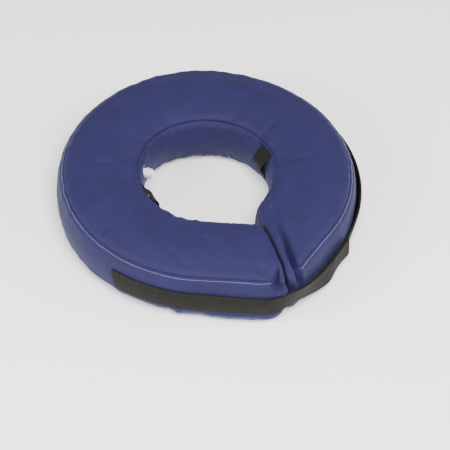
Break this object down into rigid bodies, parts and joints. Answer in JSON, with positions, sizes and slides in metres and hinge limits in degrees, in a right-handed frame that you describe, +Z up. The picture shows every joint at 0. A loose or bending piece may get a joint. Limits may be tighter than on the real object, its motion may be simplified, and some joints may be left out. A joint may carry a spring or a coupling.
{
  "type": "inflatable recovery collar",
  "caption": "Inflatable ring-shaped elizabethan collar for a dog, fabric covered and split at the front, closed by a hook-and-loop strap round the outer wall.",
  "frame": {"origin": "on the neck opening's axis, in the plane that the collar rests on when it lies flat", "axes": "+Z up along the neck opening, towards the face-side panel; -Y towards the split; +X towards the half that swings open"},
  "size_m": [0.4152, 0.4455, 0.09],
  "materials": {
    "blue_canvas": "tight matt weave with a faint sheen",
    "black_webbing": "ribbed nylon webbing",
    "loop_pile": "soft brushed loop pile",
    "hook_tape": "stiff fine hooks",
    "bladder_vinyl": "milky soft vinyl sheet",
    "valve_vinyl": "moulded soft vinyl",
    "binding_tape": "narrow bound edge",
    "zipper_tape": "woven tape",
    "zipper_teeth": "coil",
    "zipper_metal": "smooth enamel"
  },
  "bodies": {
    "left_half": {"left_top_panel": "blue_canvas", "left_bottom_panel": "blue_canvas", "left_outer_band": "blue_canvas", "left_inner_band": "blue_canvas", "left_end_panel": "blue_canvas", "left_bladder_upper": "bladder_vinyl", "left_bladder_lower": "bladder_vinyl", "left_collar_loop": "black_webbing", "left_rear_belt": "black_webbing", "left_rear_belt_loop_pile": "loop_pile", "closure_strap_sewn_length": "black_webbing", "valve_base": "valve_vinyl", "valve_stem": "valve_vinyl", "valve_tether": "valve_vinyl", "valve_hole_binding": "binding_tape"},
    "right_half": {"right_top_panel": "blue_canvas", "right_bottom_panel": "blue_canvas", "right_outer_band": "blue_canvas", "right_inner_band": "blue_canvas", "right_end_panel": "blue_canvas", "right_bladder_upper": "bladder_vinyl", "right_bladder_lower": "bladder_vinyl", "right_collar_loop": "black_webbing", "right_belt": "black_webbing", "right_belt_loop_pile": "loop_pile", "zipper_upper_tape": "zipper_tape", "zipper_lower_tape": "zipper_tape", "zipper_upper_teeth": "zipper_teeth", "zipper_lower_teeth": "zipper_teeth", "zipper_front_stop": "zipper_metal", "zipper_rear_stop": "zipper_metal"},
    "strap_corner": {"closure_strap_corner_length": "black_webbing"},
    "strap_middle": {"closure_strap_middle_length": "black_webbing", "closure_hook_tape_middle": "hook_tape"},
    "strap_end": {"closure_strap_end_length": "black_webbing", "closure_hook_tape_end": "hook_tape"},
    "zipper_slider": {"zipper_slider": "zipper_metal"},
    "zipper_pull": {"zipper_pull": "zipper_metal"},
    "valve_plug": {"valve_plug": "valve_vinyl"}
  },
  "joints": [
    {"name": "ring_opening", "type": "hinge", "parent": "left_half", "child": "right_half", "pos_m": [0, 0.211, 0.045], "axis": [0, 0, 1], "range_deg": [0, 36]},
    {"name": "strap_peel_at_anchor", "type": "hinge", "parent": "left_half", "child": "strap_corner", "pos_m": [-0.02745, -0.22341, 0.045], "axis": [0, 0, -1], "range_deg": [0, 72]},
    {"name": "strap_peel_at_corner", "type": "hinge", "parent": "strap_corner", "child": "strap_middle", "pos_m": [0.0055, -0.23555, 0.045], "axis": [0, 0, -1], "range_deg": [0, 72]},
    {"name": "strap_peel_at_end", "type": "hinge", "parent": "strap_middle", "child": "strap_end", "pos_m": [0.06915, -0.20718, 0.045], "axis": [0, 0, -1], "range_deg": [0, 36]},
    {"name": "zipper_travel", "type": "hinge", "parent": "right_half", "child": "zipper_slider", "pos_m": [0, 0, 0.02], "axis": [0, 0, 1], "range_deg": [0, 81]},
    {"name": "zipper_pull_swing", "type": "hinge", "parent": "zipper_slider", "child": "zipper_pull", "pos_m": [0.06047, -0.06047, 0.01836], "axis": [0.2572, -0.2572, -0.9315], "range_deg": [0, 152]},
    {"name": "valve_plug_pull", "type": "slide", "parent": "left_half", "child": "valve_plug", "axis": [0.8192, -0.5736, 0], "range_m": [0, 0.012]}
  ],
  "couplings": [
    {"joint": "strap_peel_at_anchor", "follows": "ring_opening", "ratio": 2},
    {"joint": "strap_peel_at_corner", "follows": "ring_opening", "ratio": 2},
    {"joint": "strap_peel_at_end", "follows": "ring_opening", "ratio": 1}
  ]
}
